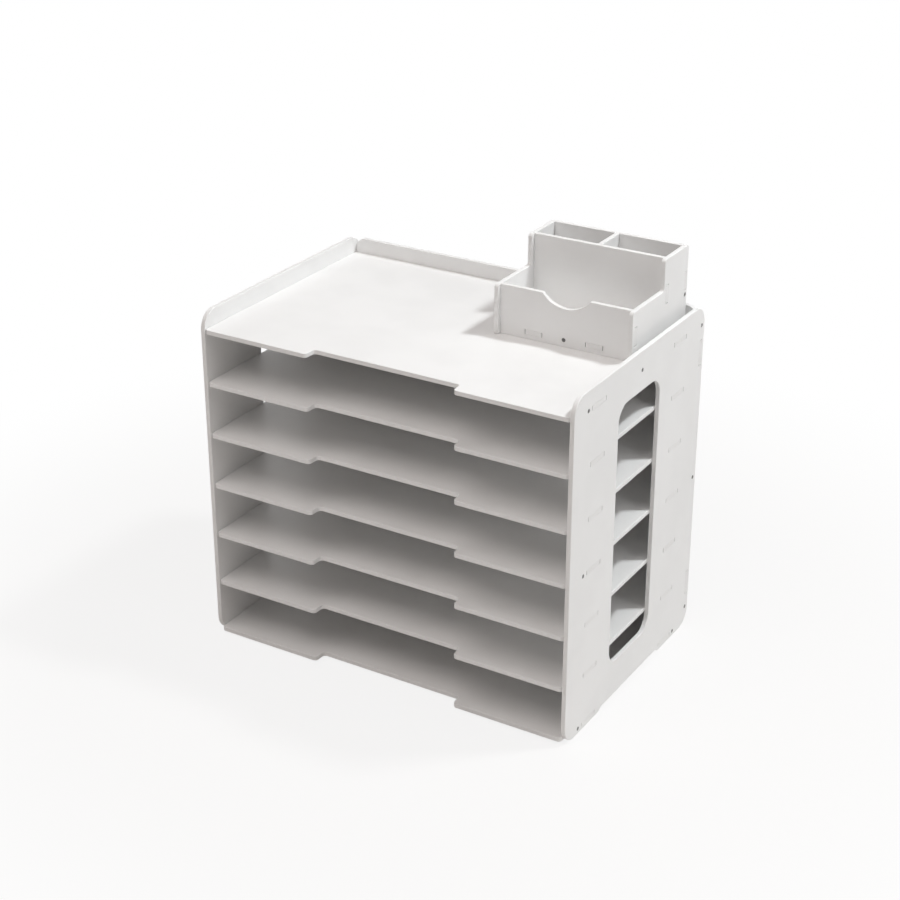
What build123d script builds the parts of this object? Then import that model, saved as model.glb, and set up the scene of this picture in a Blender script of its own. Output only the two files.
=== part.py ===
"""File storage rack of slotted white foam boards, with a loose pen box on its top board.

Sizes are in millimetres. +Z is up and the front faces -Y. The origin is the middle of the
footprint, on the floor that the side panels stand on.
"""
import os

from build123d import *

# Board stock and fits
board = 4.0                   # thickness of every panel
edge_round = 0.5              # softened edges of a cut panel
face_gap = 0.15               # clearance of a tab in its slot, across the board
end_gap = 0.8                 # clearance at each end of a slot, seen as a dark tick
overrun = 3.0                 # how far a cut passes beyond the material

# Rack body
rack_width = 350.0
rack_depth = 234.0
shelf_count = 5               # shelves between the top board and the bottom board
shelf_gap = 43.5              # clear height of one compartment
bottom_lift = 2.7             # floor to the underside of the bottom board
rim_height = 14.8             # side panels above the top board
back_recess = 3.4             # back panel set in from the side panels' rear edges
back_trim = 1.5               # back panel short of the side panels, above and below
back_corner = 10.0            # rounded top corners of the back panel

# Side panel outline
side_corner = 16.0
foot_length = 60.0
arch_height = 3.0             # hollow between the two feet of a side panel
arch_ramp = 4.5
arch_corner = 3.0
window_width = 74.6
window_low_margin = 35.3      # side panel's lower edge to the window
window_high_margin = 35.0     # window to the side panel's upper edge
window_corner = 15.0

# Finger recess in the front edge of each board
recess_width = 137.4
recess_depth = 11.9
recess_ramp = 0.5
front_corner = 3.5

# Tabs of the rack's boards
tab_length = 22.2
tab_inset = 29.4              # end of a board to its nearest tab
back_tab_inset = 30.0         # end of the back panel to its nearest tab

# Countersunk screws
screw_head_radius = 1.75
screw_head_depth = 1.5
screw_shank_radius = 1.0
screw_length = 16.0
screw_tip = 2.5
screw_gap = 0.1               # clearance all round a screw in its hole
cross_length = 2.2            # cross recess in the head
cross_width = 0.6
cross_depth = 0.8
screw_tab_spacing = 6.5       # screw axis to the tab beside it
top_screw_setback = 2.0       # top board's middle screw behind the board's middle
back_screw_inset = 16.0       # end of the back panel to its nearest screw

# Pen box
pen_width = 126.0
pen_depth = 101.0
pen_side_gap = 6.7            # clear of the right side panel
pen_back_gap = 9.1            # clear of the back panel
tray_length = 56.2            # low front part of the side walls
tray_height = 43.4
bin_height = 70.2
pen_front_recess = 3.8        # front wall and partition set in from the side walls' edges
pen_back_recess = 1.5         # back wall set in from the side walls' rear edges
pen_corner = 3.5              # rounded upper corners of the side walls
pen_inner_corner = 2.0        # hollow corner where the tall part rises
pen_foot_corner = 1.5         # lower corners of the side walls
floor_lift = 4.1              # foot of the walls to the underside of the floor
scoop_width = 43.2            # finger scoop in the front wall
scoop_depth = 10.4
scoop_shift = 1.3             # middle of the scoop to the right of the box's middle
scoop_corner = 2.0
floor_tab_length = 14.7
floor_tab_spacing = 55.5      # between the centres of the floor's two front tabs
wall_tab_length = 15.0
front_tab_lift = 14.1         # foot of the front wall to its tabs
bin_tab_lift = 31.9           # foot of the walls to the partition's and back wall's tabs
pen_screw_drop = 4.5          # screw axis below the back wall's tab
divider_tab_lift = 24.0       # top of the floor to the divider's rear tab

# Places worked out from the sizes
inner_width = rack_width - 2 * board
outer_x = rack_width / 2
inner_x = inner_width / 2
front_y = -rack_depth / 2
rear_y = rack_depth / 2
back_face_y = rear_y - back_recess - board
back_mid_y = back_face_y + board / 2
board_depth = back_face_y - front_y
board_mid_y = (front_y + back_face_y) / 2
tab_offset = board_depth / 2 - tab_inset - tab_length / 2
tab_places = (board_mid_y - tab_offset, board_mid_y + tab_offset)
screw_offset = tab_offset + tab_length / 2 + screw_tab_spacing
front_screw_y = board_mid_y - screw_offset
rear_screw_y = board_mid_y + screw_offset
top_screw_y = board_mid_y + top_screw_setback

shelf_pitch = shelf_gap + board
level_count = shelf_count + 2
top_face_z = bottom_lift + board + (level_count - 1) * shelf_pitch
side_height = top_face_z + rim_height
level_bases = [top_face_z - board - step * shelf_pitch for step in range(level_count)]
middle_level = level_count // 2
bottom_level = level_count - 1
back_low_z = back_trim
back_high_z = side_height - back_trim
back_tab_bases = (back_low_z + back_tab_inset, back_high_z - back_tab_inset - tab_length)

pen_right = inner_x - pen_side_gap
pen_left = pen_right - pen_width
pen_mid_x = (pen_left + pen_right) / 2
scoop_mid_x = pen_mid_x + scoop_shift
pen_rear = back_face_y - pen_back_gap
pen_front = pen_rear - pen_depth
pen_base = top_face_z
pen_inner_left = pen_left + board
pen_inner_right = pen_right - board
front_wall_y = pen_front + pen_front_recess
partition_y = pen_front + tray_length + pen_front_recess
back_wall_y = pen_rear - pen_back_recess - board
floor_base = pen_base + floor_lift
floor_face = floor_base + board
bin_tab_base = pen_base + bin_tab_lift
pen_screw_z = bin_tab_base - pen_screw_drop


def block(low, high):
    """A square-edged block between two opposite corners."""
    sizes = [top - base for base, top in zip(low, high)]
    return Pos(*low) * Box(*sizes, align=(Align.MIN, Align.MIN, Align.MIN))


def cut_board(outline, plane):
    """A board cut to an outline, from the plane along its normal, with its edges softened."""
    blank = extrude(plane * outline, amount=board, dir=plane.z_dir)
    faces = blank.faces().filter_by(Axis((0, 0, 0), plane.z_dir))
    return fillet(faces.edges(), edge_round)


def between(low, high):
    """The place of a rectangle's centre between two corners, and its two sides."""
    centre = Pos((low[0] + high[0]) / 2, (low[1] + high[1]) / 2)
    return centre, high[0] - low[0], high[1] - low[1]


def rectangle(low, high):
    """A flat rectangle between two corners."""
    centre, width, height = between(low, high)
    return centre * Rectangle(width, height)


def slot_along(low, high):
    """A slot for the tab between two corners, that runs along the first direction."""
    return rectangle((low[0] - end_gap, low[1] - face_gap), (high[0] + end_gap, high[1] + face_gap))


def slot_upright(low, high):
    """A slot for the tab between two corners, that runs along the second direction."""
    return rectangle((low[0] - face_gap, low[1] - end_gap), (high[0] + face_gap, high[1] + end_gap))


def cut_through(panel, openings, plane):
    """The panel with flat openings cut right through it, from the plane along its normal."""
    for opening in openings:
        panel -= extrude(plane.offset(-overrun) * opening, amount=board + 2 * overrun, dir=plane.z_dir)
    return panel


def screw_profile(points):
    """A solid of revolution about Z from its half outline in radius and height."""
    return revolve(Plane.XZ * make_face(Polyline(*points, close=True)), Axis.Z)


def screw():
    """A countersunk screw that points along -Z, with its head's face at the origin."""
    body = screw_profile([
        (0, 0),
        (screw_head_radius, 0),
        (screw_shank_radius, -screw_head_depth),
        (screw_shank_radius, screw_tip - screw_length),
        (0, -screw_length),
    ])
    arm = Pos(0, 0, -cross_depth / 2) * Box(cross_length, cross_width, cross_depth)
    return body - arm - Rot(0, 0, 90) * arm


def screw_hole():
    """The clearance hole of a screw, along -Z from the face that its head is flush with."""
    head = screw_head_radius + screw_gap
    shank = screw_shank_radius + screw_gap
    depth = screw_length + screw_gap
    return screw_profile([
        (0, overrun),
        (head, overrun),
        (head, 0),
        (shank, -screw_head_depth),
        (shank, -depth),
        (0, -depth),
    ])


def side_seat(side, x, y, z):
    """The seat of a screw in the outer face of a wall to the left (-1) or right (1)."""
    return Plane(origin=(side * x, y, z), x_dir=(0, 1, 0), z_dir=(side, 0, 0))


def level_seats(side, level):
    """The screw seats in one side panel that hold the board at a level."""
    places = {
        0: (front_screw_y, top_screw_y),
        middle_level: (front_screw_y,),
        bottom_level: (front_screw_y, rear_screw_y),
    }
    height = level_bases[level] + board / 2
    return [side_seat(side, outer_x, y, height) for y in places.get(level, ())]


def back_seats(side):
    """The screw seats in one side panel that hold the back panel."""
    heights = (
        back_low_z + back_screw_inset,
        level_bases[middle_level] + board / 2,
        back_high_z - back_screw_inset,
    )
    return [side_seat(side, outer_x, back_mid_y, height) for height in heights]


def drill(panel, seats):
    """The panel with the clearance hole of each screw cut from it."""
    for seat in seats:
        panel -= seat * screw_hole()
    return panel


def screws_at(seats):
    """One group of separate screws, one in each seat."""
    return Compound([seat * screw() for seat in seats])


def side_outline():
    """A side panel seen from the side: rounded, on two feet, with one tall window."""
    outline = Pos(0, side_height / 2) * RectangleRounded(rack_depth, side_height, side_corner)
    mouth = rack_depth / 2 - foot_length
    crown = mouth - arch_ramp
    outline -= Polygon(
        (-mouth, -overrun),
        (mouth, -overrun),
        (mouth, 0),
        (crown, arch_height),
        (-crown, arch_height),
        (-mouth, 0),
        align=None,
    )
    lower = outline.vertices().filter_by_position(Axis.Y, -edge_round, arch_height + edge_round)
    inner = lower.filter_by_position(Axis.X, -mouth - edge_round, mouth + edge_round)
    outline = fillet(inner, arch_corner)
    window_height = side_height - window_low_margin - window_high_margin
    window = RectangleRounded(window_width, window_height, window_corner)
    return outline - Pos(board_mid_y, window_low_margin + window_height / 2) * window


def side_panel(side):
    """A side panel on the left (-1) or right (1), slotted for every board's tabs."""
    plane = Plane.YZ.offset(inner_x if side > 0 else -outer_x)
    panel = cut_board(side_outline(), plane)
    slots = []
    for base in level_bases:
        for middle in tab_places:
            start = middle - tab_length / 2
            slots.append(slot_along((start, base), (start + tab_length, base + board)))
    for base in back_tab_bases:
        slots.append(slot_upright((back_face_y, base), (back_face_y + board, base + tab_length)))
    panel = cut_through(panel, slots, plane)
    for level in range(level_count):
        panel = drill(panel, level_seats(side, level))
    return drill(panel, back_seats(side))


def board_outline():
    """A shelf board seen from above, with a finger recess in its front edge."""
    outline = rectangle((-inner_x, front_y), (inner_x, back_face_y))
    floor = recess_width / 2
    mouth = floor + recess_ramp
    recess_y = front_y + recess_depth
    outline -= Polygon(
        (-mouth, front_y - overrun),
        (mouth, front_y - overrun),
        (mouth, front_y),
        (floor, recess_y),
        (-floor, recess_y),
        (-mouth, front_y),
        align=None,
    )
    front = outline.vertices().filter_by_position(Axis.Y, front_y - edge_round, recess_y + edge_round)
    return fillet(front, front_corner)


def shelf_board(level):
    """The board at a level, counted from the top, with two tabs through each side panel."""
    base = level_bases[level]
    panel = cut_board(board_outline(), Plane.XY.offset(base))
    for middle in tab_places:
        start = middle - tab_length / 2
        end = start + tab_length
        panel += block((-outer_x, start, base), (-inner_x + board, end, base + board))
        panel += block((inner_x - board, start, base), (outer_x, end, base + board))
    for side in (-1, 1):
        panel = drill(panel, level_seats(side, level))
    return panel


def back_panel():
    """The upright board that closes the back, with two tabs through each side panel."""
    plane = Plane(origin=(0, back_face_y + board, 0), x_dir=(1, 0, 0), z_dir=(0, -1, 0))
    outline = rectangle((-inner_x, back_low_z), (inner_x, back_high_z))
    outline = fillet(outline.vertices().group_by(Axis.Y)[-1], back_corner)
    panel = cut_board(outline, plane)
    rear = back_face_y + board
    for base in back_tab_bases:
        end = base + tab_length
        panel += block((-outer_x, back_face_y, base), (-inner_x + board, rear, end))
        panel += block((inner_x - board, back_face_y, base), (outer_x, rear, end))
    for side in (-1, 1):
        panel = drill(panel, back_seats(side))
    return panel


def pen_floor_tabs():
    """Left ends of the floor's tabs along X."""
    reach = (floor_tab_spacing + floor_tab_length) / 2
    return (pen_mid_x - reach, pen_mid_x + reach - floor_tab_length)


def pen_front_seat():
    """The seat of the screw through the front wall into the floor."""
    return Plane(
        origin=(pen_mid_x, front_wall_y, floor_base + board / 2),
        x_dir=(1, 0, 0),
        z_dir=(0, -1, 0),
    )


def pen_side_seat(side):
    """The seat of the screw through one side wall into the back wall."""
    x = pen_right if side > 0 else -pen_left
    return side_seat(side, x, back_wall_y + board / 2, pen_screw_z)


def pen_wall_tabs():
    """Front face and foot of each cross wall's tabs in the side walls."""
    return (
        (front_wall_y, pen_base + front_tab_lift),
        (partition_y, bin_tab_base),
        (back_wall_y, bin_tab_base),
    )


def pen_side(side):
    """A side wall of the pen box, low along the tray and tall along the bins."""
    plane = Plane.YZ.offset(pen_inner_right if side > 0 else pen_left)
    tray_top = pen_base + tray_height
    bin_top = pen_base + bin_height
    bin_front = pen_front + tray_length
    outline = Polygon(
        (pen_front, pen_base),
        (pen_rear, pen_base),
        (pen_rear, bin_top),
        (bin_front, bin_top),
        (bin_front, tray_top),
        (pen_front, tray_top),
        align=None,
    )
    outline = fillet(outline.vertices().group_by(Axis.Y)[0], pen_foot_corner)
    outline = fillet(outline.vertices().group_by(Axis.Y)[-1], pen_corner)
    tray_corners = outline.vertices().filter_by_position(
        Axis.Y, tray_top - edge_round, tray_top + edge_round
    )
    outline = fillet(tray_corners.sort_by(Axis.X)[0], pen_corner)
    hollow = outline.vertices().filter_by_position(
        Axis.Y, tray_top - edge_round, tray_top + edge_round
    )
    outline = fillet(hollow.sort_by(Axis.X)[-1], pen_inner_corner)
    panel = cut_board(outline, plane)
    slots = [
        slot_upright((y, base), (y + board, base + wall_tab_length))
        for y, base in pen_wall_tabs()
    ]
    panel = cut_through(panel, slots, plane)
    return drill(panel, [pen_side_seat(side)])


def pen_cross_plane(y):
    """The rear face of a cross wall, facing the front, so that its outline is in X and Z."""
    return Plane(origin=(0, y + board, 0), x_dir=(1, 0, 0), z_dir=(0, -1, 0))


def with_wall_tabs(panel, y, base):
    """A cross wall with one tab through each side wall."""
    top = base + wall_tab_length
    panel += block((pen_left, y, base), (pen_inner_left + board, y + board, top))
    panel += block((pen_inner_right - board, y, base), (pen_right, y + board, top))
    return panel


def pen_front_wall():
    """The low front wall, with a finger scoop in its top edge."""
    plane = pen_cross_plane(front_wall_y)
    top = pen_base + tray_height
    outline = rectangle((pen_inner_left, pen_base), (pen_inner_right, top))
    scoop_radius = (scoop_width ** 2 / 4 + scoop_depth ** 2) / (2 * scoop_depth)
    outline -= Pos(scoop_mid_x, top - scoop_depth + scoop_radius) * Circle(scoop_radius)
    half = scoop_width / 2 + edge_round
    rim = outline.vertices().group_by(Axis.Y)[-1]
    scoop_ends = rim.filter_by_position(Axis.X, scoop_mid_x - half, scoop_mid_x + half)
    panel = cut_board(fillet(scoop_ends, scoop_corner), plane)
    slots = [
        slot_along((start, floor_base), (start + floor_tab_length, floor_face))
        for start in pen_floor_tabs()
    ]
    panel = cut_through(panel, slots, plane)
    panel = with_wall_tabs(panel, front_wall_y, pen_base + front_tab_lift)
    return drill(panel, [pen_front_seat()])


def pen_partition():
    """The tall wall between the tray and the bins, standing on the floor."""
    outline = rectangle((pen_inner_left, floor_face), (pen_inner_right, pen_base + bin_height))
    panel = cut_board(outline, pen_cross_plane(partition_y))
    return with_wall_tabs(panel, partition_y, bin_tab_base)


def pen_back_wall():
    """The tall back wall, slotted for the floor and the divider."""
    plane = pen_cross_plane(back_wall_y)
    outline = rectangle((pen_inner_left, pen_base), (pen_inner_right, pen_base + bin_height))
    panel = cut_board(outline, plane)
    slots = [
        slot_along((start, floor_base), (start + floor_tab_length, floor_face))
        for start in pen_floor_tabs()
    ]
    divider_left = pen_mid_x - board / 2
    divider_base = floor_face + divider_tab_lift
    slots.append(
        slot_upright((divider_left, divider_base), (divider_left + board, divider_base + wall_tab_length))
    )
    panel = cut_through(panel, slots, plane)
    panel = with_wall_tabs(panel, back_wall_y, bin_tab_base)
    return drill(panel, [pen_side_seat(-1), pen_side_seat(1)])


def pen_floor():
    """The raised floor, with two tabs through the front wall and two through the back wall."""
    front = front_wall_y + board
    outline = rectangle((pen_inner_left, front), (pen_inner_right, back_wall_y))
    panel = cut_board(outline, Plane.XY.offset(floor_base))
    for start in pen_floor_tabs():
        end = start + floor_tab_length
        panel += block((start, front_wall_y, floor_base), (end, front + board, floor_face))
        panel += block((start, back_wall_y - board, floor_base), (end, back_wall_y + board, floor_face))
    return drill(panel, [pen_front_seat()])


def pen_divider():
    """The short wall that parts the two bins, with one tab through the back wall."""
    left = pen_mid_x - board / 2
    right = left + board
    outline = rectangle((partition_y + board, floor_face), (back_wall_y, pen_base + bin_height))
    panel = cut_board(outline, Plane.YZ.offset(left))
    base = floor_face + divider_tab_lift
    top = base + wall_tab_length
    return panel + block((left, back_wall_y - board, base), (right, back_wall_y + board, top))


def all_nodes():
    """Every named piece of the rack and its pen box."""
    nodes = {
        "left_side_panel": side_panel(-1),
        "right_side_panel": side_panel(1),
        "top_board": shelf_board(0),
    }
    for level in range(1, bottom_level):
        nodes[f"shelf_{level}"] = shelf_board(level)
    nodes["bottom_board"] = shelf_board(bottom_level)
    nodes["back_panel"] = back_panel()
    screwed_levels = {
        "top_board_screws": 0,
        "middle_shelf_screws": middle_level,
        "bottom_board_screws": bottom_level,
    }
    for name, level in screwed_levels.items():
        nodes[name] = screws_at(level_seats(-1, level) + level_seats(1, level))
    nodes["back_panel_screws"] = screws_at(back_seats(-1) + back_seats(1))
    nodes["pen_box_left_side"] = pen_side(-1)
    nodes["pen_box_right_side"] = pen_side(1)
    nodes["pen_box_front_wall"] = pen_front_wall()
    nodes["pen_box_partition"] = pen_partition()
    nodes["pen_box_back_wall"] = pen_back_wall()
    nodes["pen_box_divider"] = pen_divider()
    nodes["pen_box_floor"] = pen_floor()
    nodes["pen_box_front_screw"] = screws_at([pen_front_seat()])
    nodes["pen_box_side_screws"] = screws_at([pen_side_seat(-1), pen_side_seat(1)])
    return nodes


os.makedirs("parts", exist_ok=True)
for node_name, shape in all_nodes().items():
    export_step(shape, f"parts/{node_name}.step")
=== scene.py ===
"""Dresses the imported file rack: foam board finishes, threaded screws and a plain white studio.

Lengths are metres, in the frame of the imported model: +Z is up and the open front faces -Y.
"""

import logging
import math
from dataclasses import dataclass
from enum import Enum
from typing import Union

import bpy
import numpy as np
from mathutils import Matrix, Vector


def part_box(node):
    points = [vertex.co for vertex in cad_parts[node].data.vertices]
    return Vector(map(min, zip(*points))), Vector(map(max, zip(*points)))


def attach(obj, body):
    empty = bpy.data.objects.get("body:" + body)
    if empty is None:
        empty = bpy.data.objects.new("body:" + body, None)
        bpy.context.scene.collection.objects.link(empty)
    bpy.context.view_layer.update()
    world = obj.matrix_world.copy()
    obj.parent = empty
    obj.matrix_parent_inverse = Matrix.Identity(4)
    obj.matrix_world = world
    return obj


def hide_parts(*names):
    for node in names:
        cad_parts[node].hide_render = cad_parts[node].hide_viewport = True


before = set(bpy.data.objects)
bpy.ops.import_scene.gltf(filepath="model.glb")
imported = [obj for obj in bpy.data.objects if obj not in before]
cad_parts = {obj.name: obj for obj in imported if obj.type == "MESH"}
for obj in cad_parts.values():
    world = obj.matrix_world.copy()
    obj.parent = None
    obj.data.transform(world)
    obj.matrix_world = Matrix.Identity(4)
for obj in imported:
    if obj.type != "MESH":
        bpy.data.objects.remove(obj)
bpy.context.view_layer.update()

log = logging.getLogger("file_rack")

Colour = tuple[float, float, float, float]
Place = tuple[float, float, float]
Span = tuple[float, float]
Socket = bpy.types.NodeSocket
Value = Union[float, Socket]
ColourValue = Union[Colour, Socket]

MILLIMETRE = 0.001
WHITE: Colour = (1.0, 1.0, 1.0, 1.0)
WARM: Colour = (1.0, 0.935, 0.905, 1.0)
COOL: Colour = (0.95, 0.985, 1.0, 1.0)
RIGHTWARD = Vector((1, 0, 0))
FRONTWARD = Vector((0, -1, 0))
SHELF_COUNT = 5


class Facing(Enum):
    """The direction that the two large faces of a board look in, as the number of its axis."""

    SIDEWAYS = 0
    FORWARD = 1
    UPWARD = 2


class NodeSheet:
    """A node tree, with short calls that add nodes and link them."""

    # Places of the Mix node's colour sockets, because its number sockets have the same names.
    mix_first = 6
    mix_second = 7
    mix_result = 2

    def __init__(self, tree: bpy.types.NodeTree) -> None:
        """Opens a tree.

        Args:
            tree: The tree that nodes are added to.
        """
        self.tree = tree

    def add(self, kind: str, **settings: object) -> bpy.types.Node:
        """Adds a node.

        Args:
            kind: Blender's name of the node's type.
            settings: Properties to set on it.

        Returns:
            The new node.
        """
        node = self.tree.nodes.new(kind)
        for name, value in settings.items():
            setattr(node, name, value)
        return node

    def feed(self, socket: Socket, value: object) -> None:
        """Links a socket to another, or sets its constant.

        Args:
            socket: The input to feed.
            value: An output socket, or the constant.
        """
        if isinstance(value, Socket):
            self.tree.links.new(value, socket)
        else:
            socket.default_value = value

    def math(self, operation: str, first: Value, second: Value = 0.0) -> Socket:
        """One sum of two values.

        Args:
            operation: Blender's name of the sum.
            first: The first value.
            second: The second value, where the sum has one.

        Returns:
            The result.
        """
        node = self.add("ShaderNodeMath", operation=operation)
        self.feed(node.inputs[0], first)
        self.feed(node.inputs[1], second)
        return node.outputs["Value"]

    def along(self, vector: Socket, axis: int) -> Socket:
        """One component of a vector.

        Args:
            vector: The vector.
            axis: The number of the axis.

        Returns:
            The component.
        """
        node = self.add("ShaderNodeSeparateXYZ")
        self.feed(node.inputs[0], vector)
        return node.outputs[axis]

    def fade(self, value: Value, reach: Span, ends: Span = (0.0, 1.0)) -> Socket:
        """A smooth step.

        Args:
            value: What is measured.
            reach: Where the step begins, and where it is complete, above or below that.
            ends: The result before the step and after it.

        Returns:
            The stepped value.
        """
        node = self.add("ShaderNodeMapRange", interpolation_type="SMOOTHSTEP")
        for socket, given in zip(node.inputs, (value, *reach, *ends)):
            self.feed(socket, given)
        return node.outputs["Result"]

    def blend(self, share: Value, first: ColourValue, second: ColourValue) -> Socket:
        """A colour between two.

        Args:
            share: 0 gives the first colour and 1 the second.
            first: The first colour.
            second: The second colour.

        Returns:
            The mixed colour.
        """
        node = self.add("ShaderNodeMix", data_type="RGBA")
        self.feed(node.inputs[0], share)
        self.feed(node.inputs[self.mix_first], first)
        self.feed(node.inputs[self.mix_second], second)
        return node.outputs[self.mix_result]

    def seen_directly(self) -> Socket:
        """1 for what the camera, a gloss or a glass shows, and 0 for light that only bounces.

        Returns:
            The share.
        """
        path = self.add("ShaderNodeLightPath")
        seen = path.outputs["Is Camera Ray"]
        for name in ("Is Glossy Ray", "Is Transmission Ray"):
            seen = self.math("MAXIMUM", seen, path.outputs[name])
        return seen


class MaterialSheet(NodeSheet):
    """The node tree of a new material, with its shader and the object's own coordinates."""

    def __init__(self, name: str) -> None:
        """Starts the material.

        Args:
            name: The material's name.
        """
        self.material = bpy.data.materials.new(name)
        self.material.use_nodes = True
        super().__init__(self.material.node_tree)
        self.shader = self.tree.nodes["Principled BSDF"]
        coordinates = self.add("ShaderNodeTexCoord")
        self.place = coordinates.outputs["Object"]
        self.normal = coordinates.outputs["Normal"]

    def stretched(self, shift: Vector, scales: Vector) -> Socket:
        """The object's coordinates, scaled along each axis and then shifted.

        Args:
            shift: How far the pattern is moved.
            scales: How many times smaller the pattern becomes along each axis.

        Returns:
            The new coordinates.
        """
        node = self.add("ShaderNodeMapping")
        self.feed(node.inputs["Vector"], self.place)
        self.feed(node.inputs["Location"], shift)
        self.feed(node.inputs["Scale"], scales)
        return node.outputs["Vector"]

    def noise(self, place: Socket, size: float, detail: float) -> Socket:
        """Soft noise around a half.

        Args:
            place: The coordinates.
            size: How wide one blot is, in the coordinates' units.
            detail: How many finer layers are added.

        Returns:
            The noise.
        """
        node = self.add("ShaderNodeTexNoise")
        self.feed(node.inputs["Vector"], place)
        self.feed(node.inputs["Scale"], 1.0 / size)
        self.feed(node.inputs["Detail"], detail)
        return node.outputs[0]

    def cells(self, place: Socket, size: float) -> Socket:
        """The distance to the middle of the nearest cell, in cells.

        Args:
            place: The coordinates.
            size: How wide one cell is, in the coordinates' units.

        Returns:
            The distance.
        """
        node = self.add("ShaderNodeTexVoronoi")
        self.feed(node.inputs["Vector"], place)
        self.feed(node.inputs["Scale"], 1.0 / size)
        return node.outputs["Distance"]

    def relief(self, height: Socket, depth: float) -> None:
        """Gives the shader a bump.

        Args:
            height: The relief, in depths above the surface, and below it where negative.
            depth: How high a relief of 1 stands.
        """
        node = self.add("ShaderNodeBump")
        self.feed(node.inputs["Strength"], 1.0)
        self.feed(node.inputs["Distance"], depth)
        self.feed(node.inputs["Height"], height)
        self.feed(self.shader.inputs["Normal"], node.outputs["Normal"])


@dataclass(frozen=True)
class FoamBoardFinish:
    """White expanded board: a satin skin on both faces, and a fine porous core where it is cut."""

    skin: Colour = (0.86, 0.86, 0.855, 1.0)
    skin_cloud: Colour = (0.835, 0.835, 0.83, 1.0)
    cut: Colour = (0.85, 0.848, 0.842, 1.0)
    pore: Colour = (0.73, 0.722, 0.712, 1.0)
    cloud_size: float = 55 * MILLIMETRE
    cloud_detail: float = 3.0
    cloud_reach: Span = (0.38, 0.66)
    peel_size: float = 1.1 * MILLIMETRE
    peel_detail: float = 2.0
    peel_reach: Span = (0.3, 0.7)
    peel_share: float = 0.22
    pore_size: float = 0.42 * MILLIMETRE
    pore_reach: Span = (0.36, 0.14)
    cutter_step: float = 0.7 * MILLIMETRE
    cutter_detail: float = 1.0
    cutter_stretch: float = 12.0
    cutter_share: float = 0.5
    cut_tilt: Span = (0.9, 0.4)
    skin_depth: float = 0.6 * MILLIMETRE
    skin_fade: float = 0.25 * MILLIMETRE
    relief_depth: float = 0.05 * MILLIMETRE
    skin_roughness: float = 0.42
    cut_roughness: float = 0.62
    roughness_spread: float = 0.05
    board_shift: Place = (0.37, 0.53, 0.71)

    def material(self, node: str, facing: Facing, number: int) -> bpy.types.Material:
        """The finish of one board, with its skin on the two faces that look along its axis.

        Args:
            node: The board's name.
            facing: The axis that its large faces look along.
            number: Its place in the list of boards, which shifts its pattern.

        Returns:
            The material.
        """
        sheet = MaterialSheet(f"foam_board_{node}")
        low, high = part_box(node)
        axis = facing.value
        middle = (low[axis] + high[axis]) / 2
        half = (high[axis] - low[axis]) / 2
        shift = number * Vector(self.board_shift)
        tilt = sheet.math("ABSOLUTE", sheet.along(sheet.normal, axis))
        cut = sheet.fade(tilt, self.cut_tilt)
        depth = sheet.math("ABSOLUTE", sheet.math("SUBTRACT", sheet.along(sheet.place, axis), middle))
        core_edge = half - self.skin_depth
        inside = sheet.fade(depth, (core_edge, core_edge - self.skin_fade))
        core = sheet.math("MULTIPLY", cut, inside)
        even = Vector((1, 1, 1))
        across = even.copy()
        across[axis] = 1 / self.cutter_stretch
        plain = sheet.stretched(shift, even)
        cloud = sheet.noise(plain, self.cloud_size, self.cloud_detail)
        peel = sheet.noise(plain, self.peel_size, self.peel_detail)
        pores = sheet.fade(sheet.cells(plain, self.pore_size), self.pore_reach)
        cutter = sheet.noise(sheet.stretched(shift, across), self.cutter_step, self.cutter_detail)
        self.colour(sheet, cut, core, cloud, pores)
        self.roughness(sheet, cut, peel)
        self.surface(sheet, cut, core, peel, pores, cutter)
        return sheet.material

    def colour(self, sheet: MaterialSheet, cut: Socket, core: Socket, cloud: Socket,
               pores: Socket) -> None:
        """Links the base colour: a faintly clouded skin, and a duller cut edge with dark pores.

        Args:
            sheet: The board's material.
            cut: 1 on a cut edge and 0 on the skin.
            core: 1 on a cut edge away from both skins.
            cloud: The noise of the skin's clouds.
            pores: 1 in a pore.
        """
        skin = sheet.blend(sheet.fade(cloud, self.cloud_reach), self.skin, self.skin_cloud)
        body = sheet.blend(cut, skin, self.cut)
        holes = sheet.math("MULTIPLY", core, pores)
        sheet.feed(sheet.shader.inputs["Base Color"], sheet.blend(holes, body, self.pore))

    def roughness(self, sheet: MaterialSheet, cut: Socket, peel: Socket) -> None:
        """Links the roughness: satin on the skin, uneven with its peel, and dull on a cut edge.

        Args:
            sheet: The board's material.
            cut: 1 on a cut edge and 0 on the skin.
            peel: The noise of the skin's peel.
        """
        spread = sheet.fade(peel, self.peel_reach, (-self.roughness_spread, self.roughness_spread))
        level = sheet.fade(cut, (0.0, 1.0), (self.skin_roughness, self.cut_roughness))
        sheet.feed(sheet.shader.inputs["Roughness"], sheet.math("ADD", level, spread))

    def surface(self, sheet: MaterialSheet, cut: Socket, core: Socket, peel: Socket, pores: Socket,
                cutter: Socket) -> None:
        """Links the bump: a fine peel on the skin, cutter marks across a cut edge, and open pores.

        Args:
            sheet: The board's material.
            cut: 1 on a cut edge and 0 on the skin.
            core: 1 on a cut edge away from both skins.
            peel: The noise of the skin's peel.
            pores: 1 in a pore.
            cutter: The noise of the cutter's marks.
        """
        skin_peel = sheet.math("MULTIPLY", peel, self.peel_share)
        skin = sheet.math("MULTIPLY", sheet.math("SUBTRACT", 1.0, cut), skin_peel)
        marks = sheet.math("MULTIPLY", cut, sheet.math("MULTIPLY", cutter, self.cutter_share))
        holes = sheet.math("MULTIPLY", core, pores)
        height = sheet.math("SUBTRACT", sheet.math("ADD", skin, marks), holes)
        sheet.relief(height, self.relief_depth)


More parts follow.
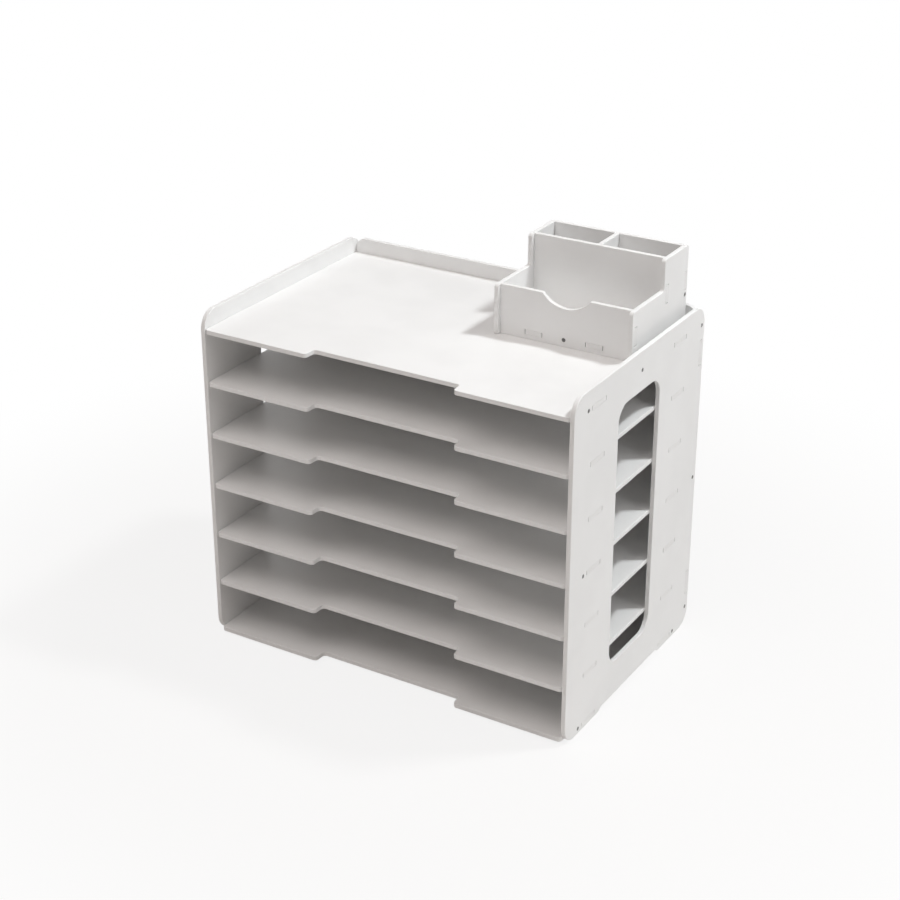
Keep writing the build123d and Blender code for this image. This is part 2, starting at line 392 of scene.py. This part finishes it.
@dataclass(frozen=True)
class BlackScrewFinish:
    """Blackened steel, worn to grey where the head is rubbed."""

    black: Colour = (0.16, 0.157, 0.154, 1.0)
    rubbed: Colour = (0.3, 0.295, 0.29, 1.0)
    patch_size: float = 0.9 * MILLIMETRE
    patch_detail: float = 3.0
    rubbed_reach: Span = (0.45, 0.7)
    polish_reach: Span = (0.3, 0.7)
    polish_roughness: Span = (0.5, 0.34)
    grain_size: float = 0.16 * MILLIMETRE
    grain_detail: float = 1.0
    relief_depth: float = 0.012 * MILLIMETRE
    metallic: float = 0.85

    def material(self) -> bpy.types.Material:
        """The finish of every screw: noise patches that are paler and smoother, and a fine grain.

        Returns:
            The material.
        """
        sheet = MaterialSheet("blackened_screw")
        patch = sheet.noise(sheet.place, self.patch_size, self.patch_detail)
        grain = sheet.noise(sheet.place, self.grain_size, self.grain_detail)
        shade = sheet.blend(sheet.fade(patch, self.rubbed_reach), self.black, self.rubbed)
        roughness = sheet.fade(patch, self.polish_reach, self.polish_roughness)
        sheet.feed(sheet.shader.inputs["Base Color"], shade)
        sheet.feed(sheet.shader.inputs["Metallic"], self.metallic)
        sheet.feed(sheet.shader.inputs["Roughness"], roughness)
        sheet.relief(grain, self.relief_depth)
        return sheet.material


@dataclass(frozen=True)
class ScrewShape:
    """A countersunk self-tapping screw with a cross recess, along -Z from its head's face."""

    head_radius: float = 1.75 * MILLIMETRE
    head_depth: float = 1.5 * MILLIMETRE
    rim_round: float = 0.14 * MILLIMETRE
    length: float = 16.0 * MILLIMETRE
    tip_length: float = 2.5 * MILLIMETRE
    neck_radius: float = 0.78 * MILLIMETRE
    crest_radius: float = 1.05 * MILLIMETRE
    root_radius: float = 0.72 * MILLIMETRE
    thread_pitch: float = 1.2 * MILLIMETRE
    ridge_power: float = 1.6
    cross_reach: float = 1.1 * MILLIMETRE
    cross_half_width: float = 0.27 * MILLIMETRE
    cross_depth: float = 1.0 * MILLIMETRE
    cross_rise_share: float = 0.6
    cross_soft: float = 0.12 * MILLIMETRE
    angle_steps: int = 56
    face_rings: int = 26
    rim_rings: int = 5
    cone_rings: int = 5
    turn_rings: int = 7
    tip_rings: int = 14

    def outline(self) -> np.ndarray:
        """The rings of the screw from its head's middle to its tip, as radius and height.

        The head's face is a radius that grows at height 0, the rim is a quarter circle, the
        underside of the head is a straight cone, the shank is straight, and the tip is a cone.

        Returns:
            One row for each ring.
        """
        flat = self.head_radius - self.rim_round
        face = np.linspace(0, flat, self.face_rings + 1)[1:]
        turn = np.linspace(0, np.pi / 2, self.rim_rings + 1)[1:]
        shank_rings = round((self.length - self.head_depth) / self.thread_pitch * self.turn_rings)
        cone = np.linspace(0, 1, self.cone_rings + 1)[1:]
        shank = np.linspace(-self.head_depth, self.tip_length - self.length, shank_rings)[1:]
        tip = np.linspace(0, 1, self.tip_rings + 1)[1:-1]
        radius = np.concatenate([
            face,
            flat + self.rim_round * np.sin(turn),
            self.head_radius + (self.neck_radius - self.head_radius) * cone,
            np.full(len(shank), self.neck_radius),
            self.neck_radius * (1 - tip),
        ])
        height = np.concatenate([
            np.zeros(len(face)),
            self.rim_round * (np.cos(turn) - 1),
            -self.rim_round + (self.rim_round - self.head_depth) * cone,
            shank,
            self.tip_length * (1 - tip) - self.length,
        ])
        return np.stack([radius, height], axis=1)

    def arm(self, along: np.ndarray, across: np.ndarray) -> np.ndarray:
        """How far inside one arm of the cross a point is.

        An arm is a bar. The share falls evenly from 1 to 0 over a narrow band on its outline.

        Args:
            along: Places along the arm.
            across: Places across it.

        Returns:
            Shares from 0 to 1.
        """
        side = np.clip((self.cross_half_width - np.abs(across)) / self.cross_soft + 0.5, 0, 1)
        end = np.clip((self.cross_reach - np.abs(along)) / self.cross_soft + 0.5, 0, 1)
        return side * end

    def recess(self, x: np.ndarray, y: np.ndarray) -> np.ndarray:
        """The depth of the cross recess under a point of the head's face.

        The recess is the deeper of the two arms, and its floor rises evenly from the middle to
        the ends of the arms.

        Args:
            x: Places along the first arm.
            y: Places along the second arm.

        Returns:
            The depths.
        """
        inside = np.maximum(self.arm(x, y), self.arm(y, x))
        slope = 1 - self.cross_rise_share * np.clip(np.hypot(x, y) / self.cross_reach, 0, 1)
        return self.cross_depth * inside * slope

    def thread(self, height: np.ndarray, angle: np.ndarray) -> np.ndarray:
        """How far the thread stands out of the neck at a height and an angle.

        The ridge is a triangle wave of the height in pitches plus the angle in turns, which makes
        a helix, raised to a power that hollows its flanks. It grows over one pitch below the head,
        and dies out towards the point.

        Args:
            height: Heights of the points, from 0 downwards.
            angle: Angles of the points.

        Returns:
            Lengths to add to the radius.
        """
        phase = np.mod(height / self.thread_pitch + angle / (2 * np.pi), 1.0)
        ridge = 1 - np.abs(2 * phase - 1)
        start = np.clip((-height - self.head_depth) / self.thread_pitch, 0, 1)
        end = np.clip((height + self.length) / self.tip_length, 0, 1)
        stand = self.root_radius + (self.crest_radius - self.root_radius) * ridge ** self.ridge_power
        return (stand - self.neck_radius) * start * end

    def surface(self, turn: float) -> tuple[np.ndarray, np.ndarray, np.ndarray]:
        """The screw as a grid of rings and angles, closed by a point at each end.

        A point is its ring's radius, plus the thread, at its angle. Its height is its ring's,
        less the cross recess on the head's face.

        Args:
            turn: How far the cross recess is turned about the axis.

        Returns:
            The points, the four-sided faces between rings, and the triangles at both ends.
        """
        rings = self.outline()
        angles = np.linspace(0, 2 * np.pi, self.angle_steps, endpoint=False)
        radius, angle = np.meshgrid(rings[:, 0], angles, indexing="ij")
        height = np.repeat(rings[:, 1:], self.angle_steps, axis=1)
        radius = radius + np.where(height < -self.head_depth, self.thread(height, angle), 0)
        x, y = radius * np.cos(angle), radius * np.sin(angle)
        across = (radius * np.cos(angle - turn), radius * np.sin(angle - turn))
        on_face = np.arange(len(rings))[:, None] < self.face_rings
        height = height - np.where(on_face, self.recess(*across), 0)
        grid = np.stack([x, y, height], axis=2).reshape(-1, 3)
        middle = np.array([[0, 0, -self.cross_depth]])
        point = np.array([[0, 0, -self.length]])
        points = np.concatenate([grid, middle, point])
        index = np.arange(len(grid)).reshape(len(rings), self.angle_steps)
        following = np.roll(index, -1, axis=1)
        quads = np.stack([index[:-1], index[1:], following[1:], following[:-1]], axis=2).reshape(-1, 4)
        crown = np.stack([np.full_like(index[0], len(grid)), index[0], following[0]], axis=1)
        foot = np.stack([np.full_like(index[-1], len(grid) + 1), following[-1], index[-1]], axis=1)
        return points, quads, np.concatenate([crown, foot])


@dataclass(frozen=True)
class Seat:
    """Where a screw's head lies: the middle of its face, and the direction that it looks in."""

    place: Vector
    outward: Vector

    def carry(self, points: np.ndarray) -> np.ndarray:
        """Points of an upright screw, turned and moved to this seat.

        Args:
            points: Points with the screw's axis along Z and its head's face at height 0.

        Returns:
            The points in the frame.
        """
        turn = np.array(self.outward.to_track_quat("Z", "Y").to_matrix())
        return points @ turn.T + np.array(self.place)


@dataclass(frozen=True)
class ScrewGroup:
    """The screws of one joint, which stand for the plain screws of one node.

    Each screw's cross is turned by one step, in radians, from that of the screw before it.
    """

    node: str
    body: str
    looks_along: Vector
    both_sides: bool = True
    face_reach: float = 0.05 * MILLIMETRE
    least_gap: float = 8 * MILLIMETRE
    turn_step: float = 2.4

    def seats(self) -> list[Seat]:
        """The seats, read from the flat heads of the node's own screws.

        Returns:
            The seats on the side looked along, after those on the opposite side if there are any.
        """
        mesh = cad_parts[self.node].data
        points = np.empty(len(mesh.vertices) * 3)
        mesh.vertices.foreach_get("co", points)
        points = points.reshape(-1, 3)
        signs = (-1, 1) if self.both_sides else (1,)
        return [seat for sign in signs for seat in self.seats_facing(points, sign * self.looks_along)]

    def seats_facing(self, points: np.ndarray, outward: Vector) -> list[Seat]:
        """The seats whose heads look in one direction.

        The points furthest out lie on the heads' faces. They are parted where they leave a gap
        along the direction in which they spread most, and each group's middle is a seat.

        Args:
            points: All points of the node.
            outward: The direction.

        Returns:
            The seats.
        """
        reach = points @ np.array(outward)
        faces = points[reach > reach.max() - self.face_reach]
        spread = np.argmax(np.ptp(faces, axis=0))
        faces = faces[np.argsort(faces[:, spread])]
        breaks = np.flatnonzero(np.diff(faces[:, spread]) > self.least_gap) + 1
        groups = np.split(faces, breaks)
        return [Seat(Vector((group.min(0) + group.max(0)) / 2), outward) for group in groups]

    def build(self, shape: ScrewShape, finish: bpy.types.Material) -> None:
        """Makes the group's screws as one piece and puts it in place of the node.

        Args:
            shape: The screw's form.
            finish: Its material.
        """
        points, quads, triangles = [], [], []
        for number, seat in enumerate(self.seats()):
            screw = shape.surface(number * self.turn_step)
            start = sum(len(part) for part in points)
            points.append(seat.carry(screw[0]))
            quads.append(screw[1] + start)
            triangles.append(screw[2] + start)
        faces = np.concatenate(quads).tolist() + np.concatenate(triangles).tolist()
        mesh = bpy.data.meshes.new(f"threaded_{self.node}")
        mesh.from_pydata(np.concatenate(points).tolist(), [], faces)
        mesh.polygons.foreach_set("use_smooth", np.ones(len(faces), dtype=bool))
        mesh.materials.append(finish)
        piece = bpy.data.objects.new(mesh.name, mesh)
        bpy.context.scene.collection.objects.link(piece)
        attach(piece, self.body)
        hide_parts(self.node)
        log.info("%s: %d screws", piece.name, len(points))


@dataclass(frozen=True)
class Board:
    """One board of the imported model."""

    node: str
    facing: Facing

    def dress(self, finish: FoamBoardFinish, number: int) -> None:
        """Gives the board its finish.

        Args:
            finish: The board's finish.
            number: The board's place in the list of all boards.
        """
        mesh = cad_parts[self.node].data
        mesh.materials.clear()
        mesh.materials.append(finish.material(self.node, self.facing, number))
        log.info("%s: foam board, faces look %s", self.node, self.facing.name.lower())


@dataclass(frozen=True)
class BoardWork:
    """A sub-assembly of boards and screws."""

    boards: tuple[Board, ...]
    screws: tuple[ScrewGroup, ...]

    def dress(self, finish: FoamBoardFinish, first_number: int) -> None:
        """Gives each board its finish.

        Args:
            finish: The boards' finish.
            first_number: Where the numbering of these boards starts.
        """
        for number, board in enumerate(self.boards, first_number):
            board.dress(finish, number)

    def fasten(self, shape: ScrewShape, finish: bpy.types.Material) -> None:
        """Makes the threaded screws.

        Args:
            shape: The screw's form.
            finish: Its material.
        """
        for group in self.screws:
            group.build(shape, finish)


@dataclass(frozen=True)
class Rack(BoardWork):
    """The rack: two side panels, seven level boards, a back and their screws."""

    boards: tuple[Board, ...] = (
        Board("left_side_panel", Facing.SIDEWAYS),
        Board("right_side_panel", Facing.SIDEWAYS),
        Board("top_board", Facing.UPWARD),
        *(Board(f"shelf_{number + 1}", Facing.UPWARD) for number in range(SHELF_COUNT)),
        Board("bottom_board", Facing.UPWARD),
        Board("back_panel", Facing.FORWARD),
    )
    screws: tuple[ScrewGroup, ...] = (
        ScrewGroup("top_board_screws", "rack", RIGHTWARD),
        ScrewGroup("middle_shelf_screws", "rack", RIGHTWARD),
        ScrewGroup("bottom_board_screws", "rack", RIGHTWARD),
        ScrewGroup("back_panel_screws", "rack", RIGHTWARD),
    )


@dataclass(frozen=True)
class PenBox(BoardWork):
    """The loose box on the top board: its walls, its floor and their screws."""

    boards: tuple[Board, ...] = (
        Board("pen_box_left_side", Facing.SIDEWAYS),
        Board("pen_box_right_side", Facing.SIDEWAYS),
        Board("pen_box_front_wall", Facing.FORWARD),
        Board("pen_box_partition", Facing.FORWARD),
        Board("pen_box_back_wall", Facing.FORWARD),
        Board("pen_box_divider", Facing.SIDEWAYS),
        Board("pen_box_floor", Facing.UPWARD),
    )
    screws: tuple[ScrewGroup, ...] = (
        ScrewGroup("pen_box_front_screw", "pen_box", FRONTWARD, both_sides=False),
        ScrewGroup("pen_box_side_screws", "pen_box", RIGHTWARD),
    )


@dataclass(frozen=True)
class SoftLight:
    """A square area lamp."""

    name: str
    place: Place
    side: float
    watts: float
    tone: Colour = WHITE
    aim: Place = (0.0, 0.0, 0.2)

    def build(self) -> None:
        """Hangs the lamp at its place, turned to its aim."""
        lamp = bpy.data.lights.new(self.name, "AREA")
        lamp.shape = "SQUARE"
        lamp.size = self.side
        lamp.energy = self.watts
        lamp.color = self.tone[:3]
        beam = Vector(self.aim) - Vector(self.place)
        holder = bpy.data.objects.new(self.name, lamp)
        holder.location = self.place
        holder.rotation_euler = beam.to_track_quat("-Z", "Y").to_euler()
        bpy.context.scene.collection.objects.link(holder)


@dataclass(frozen=True)
class Studio:
    """A plain white floor under soft light, and the camera."""

    floor_half: float = 12.0
    floor_tone: Colour = (0.78, 0.757, 0.737, 1.0)
    floor_roughness: float = 0.9
    shadow_reach: float = 0.3
    white_reach: float = 0.7
    shadow_veil: float = 0.82
    sky_fill: float = 0.2
    lights: tuple[SoftLight, ...] = (
        SoftLight("key_light", (0.97, 0.58, 2.07), 0.25, 26.2, COOL),
        SoftLight("front_light", (0.0, -1.03, 2.14), 1.4, 13.8, WARM),
        SoftLight("left_light", (-1.1, -1.1, 1.756), 1.2, 4.0, WARM),
        SoftLight("right_light", (1.9, 0.0, 1.3), 1.2, 7.8),
    )
    view_aim: Place = (0.00833, -0.0204, 0.18602)
    view_distance: float = 1.6
    view_turn: float = math.radians(31.131)
    view_rise: float = math.radians(25.518)
    lens: float = 75.47
    sensor: float = 36.0

    def floor_material(self) -> bpy.types.Material:
        """The floor's finish: it keeps the shadow near the middle, and fades to plain white around it.

        Where it is seen directly, a white glow veils the lit floor, and wholly so past the white reach.

        Returns:
            The material.
        """
        sheet = MaterialSheet("studio_floor")
        sheet.feed(sheet.shader.inputs["Base Color"], self.floor_tone)
        sheet.feed(sheet.shader.inputs["Roughness"], self.floor_roughness)
        distance = sheet.add("ShaderNodeVectorMath", operation="LENGTH")
        sheet.feed(distance.inputs[0], sheet.place)
        fade_reach = (self.shadow_reach, self.white_reach)
        veil = sheet.fade(distance.outputs["Value"], fade_reach, (self.shadow_veil, 1.0))
        glow = sheet.add("ShaderNodeEmission")
        sheet.feed(glow.inputs["Color"], WHITE)
        sheet.feed(glow.inputs["Strength"], 1.0)
        mixed = sheet.add("ShaderNodeMixShader")
        sheet.feed(mixed.inputs[0], sheet.math("MULTIPLY", veil, sheet.seen_directly()))
        sheet.feed(mixed.inputs[1], sheet.shader.outputs["BSDF"])
        sheet.feed(mixed.inputs[2], glow.outputs["Emission"])
        sheet.feed(sheet.tree.nodes["Material Output"].inputs["Surface"], mixed.outputs["Shader"])
        return sheet.material

    def floor(self) -> None:
        """Lays the floor, a square around the origin."""
        half = self.floor_half
        corners = [(-half, -half, 0), (half, -half, 0), (half, half, 0), (-half, half, 0)]
        mesh = bpy.data.meshes.new("studio_floor")
        mesh.from_pydata(corners, [], [(0, 1, 2, 3)])
        mesh.materials.append(self.floor_material())
        ground = bpy.data.objects.new("studio_floor", mesh)
        bpy.context.scene.collection.objects.link(ground)

    def sky(self) -> None:
        """Sets an even world: plain white where it is seen directly, and a weak warm fill elsewhere."""
        world = bpy.data.worlds.new("studio_sky")
        world.use_nodes = True
        sheet = NodeSheet(world.node_tree)
        background = sheet.tree.nodes["Background"]
        seen = sheet.seen_directly()
        sheet.feed(background.inputs["Color"], sheet.blend(seen, WARM, WHITE))
        sheet.feed(background.inputs["Strength"], sheet.fade(seen, (0.0, 1.0), (self.sky_fill, 1.0)))
        bpy.context.scene.world = world

    def camera(self) -> None:
        """Stands the camera at its distance from the aim, turned to the right and raised."""
        level = math.cos(self.view_rise)
        back = Vector((
            math.sin(self.view_turn) * level,
            -math.cos(self.view_turn) * level,
            math.sin(self.view_rise),
        ))
        lens = bpy.data.cameras.new("view")
        lens.lens = self.lens
        lens.sensor_width = self.sensor
        holder = bpy.data.objects.new("view", lens)
        holder.location = Vector(self.view_aim) + self.view_distance * back
        holder.rotation_euler = (-back).to_track_quat("-Z", "Y").to_euler()
        bpy.context.scene.collection.objects.link(holder)
        bpy.context.scene.camera = holder

    def build(self) -> None:
        """Builds the floor, the world, the lamps and the camera."""
        self.floor()
        self.sky()
        for light in self.lights:
            light.build()
        self.camera()
        bpy.context.scene.view_settings.view_transform = "Standard"
        log.info("studio: floor, sky, %d lamps and a camera", len(self.lights))


def main() -> None:
    """Dresses the rack and the pen box, and builds the studio."""
    logging.basicConfig(level=logging.INFO, format="%(message)s")
    board_finish = FoamBoardFinish()
    screw_finish = BlackScrewFinish().material()
    screw_shape = ScrewShape()
    number = 1
    for work in (Rack(), PenBox()):
        work.dress(board_finish, number)
        work.fasten(screw_shape, screw_finish)
        number += len(work.boards)
    Studio().build()


if __name__ == "__main__":
    main()
